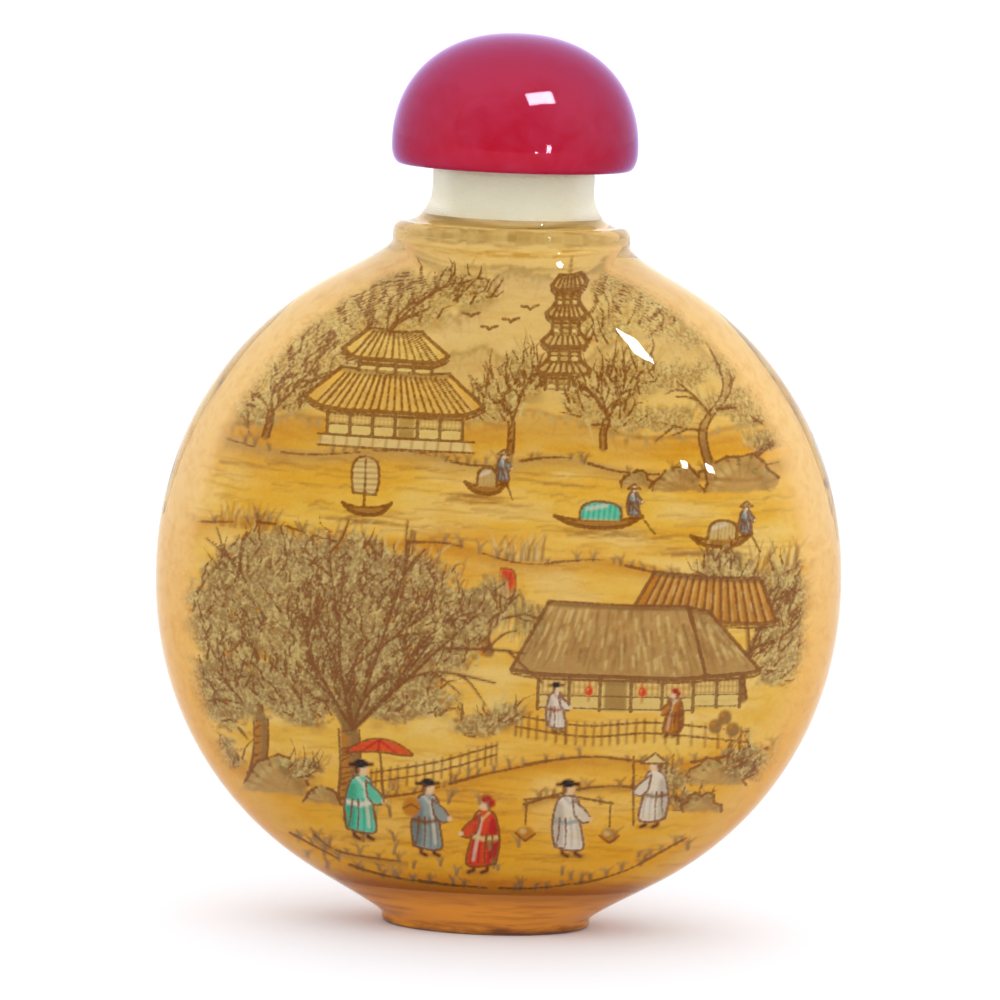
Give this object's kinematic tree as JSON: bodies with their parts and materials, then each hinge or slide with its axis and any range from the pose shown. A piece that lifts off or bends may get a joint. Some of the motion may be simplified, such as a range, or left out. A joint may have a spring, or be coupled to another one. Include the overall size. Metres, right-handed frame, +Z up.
{
  "type": "hand-painted glass bottle",
  "caption": "Flattened round glass bottle painted inside its wall with a river landscape, with a flared neck, an oval foot and a domed stopper on a plug that fills the bore.",
  "frame": {"origin": "middle of the foot ring's underside", "axes": "+Z up along the neck, the broad painted faces look along -Y (the front) and +Y, and X runs across them"},
  "size_m": [0.061, 0.026, 0.0795],
  "materials": {
    "painted_glass": "clear polished glass over an amber landscape painted on the inner wall",
    "ruby_glass": "polished translucent ruby glass",
    "pale_plastic": "satin cream plastic"
  },
  "bodies": {
    "root": {"bottle": "painted_glass", "stopper_dome": "ruby_glass", "stopper_plug": "pale_plastic"}
  },
  "joints": []
}
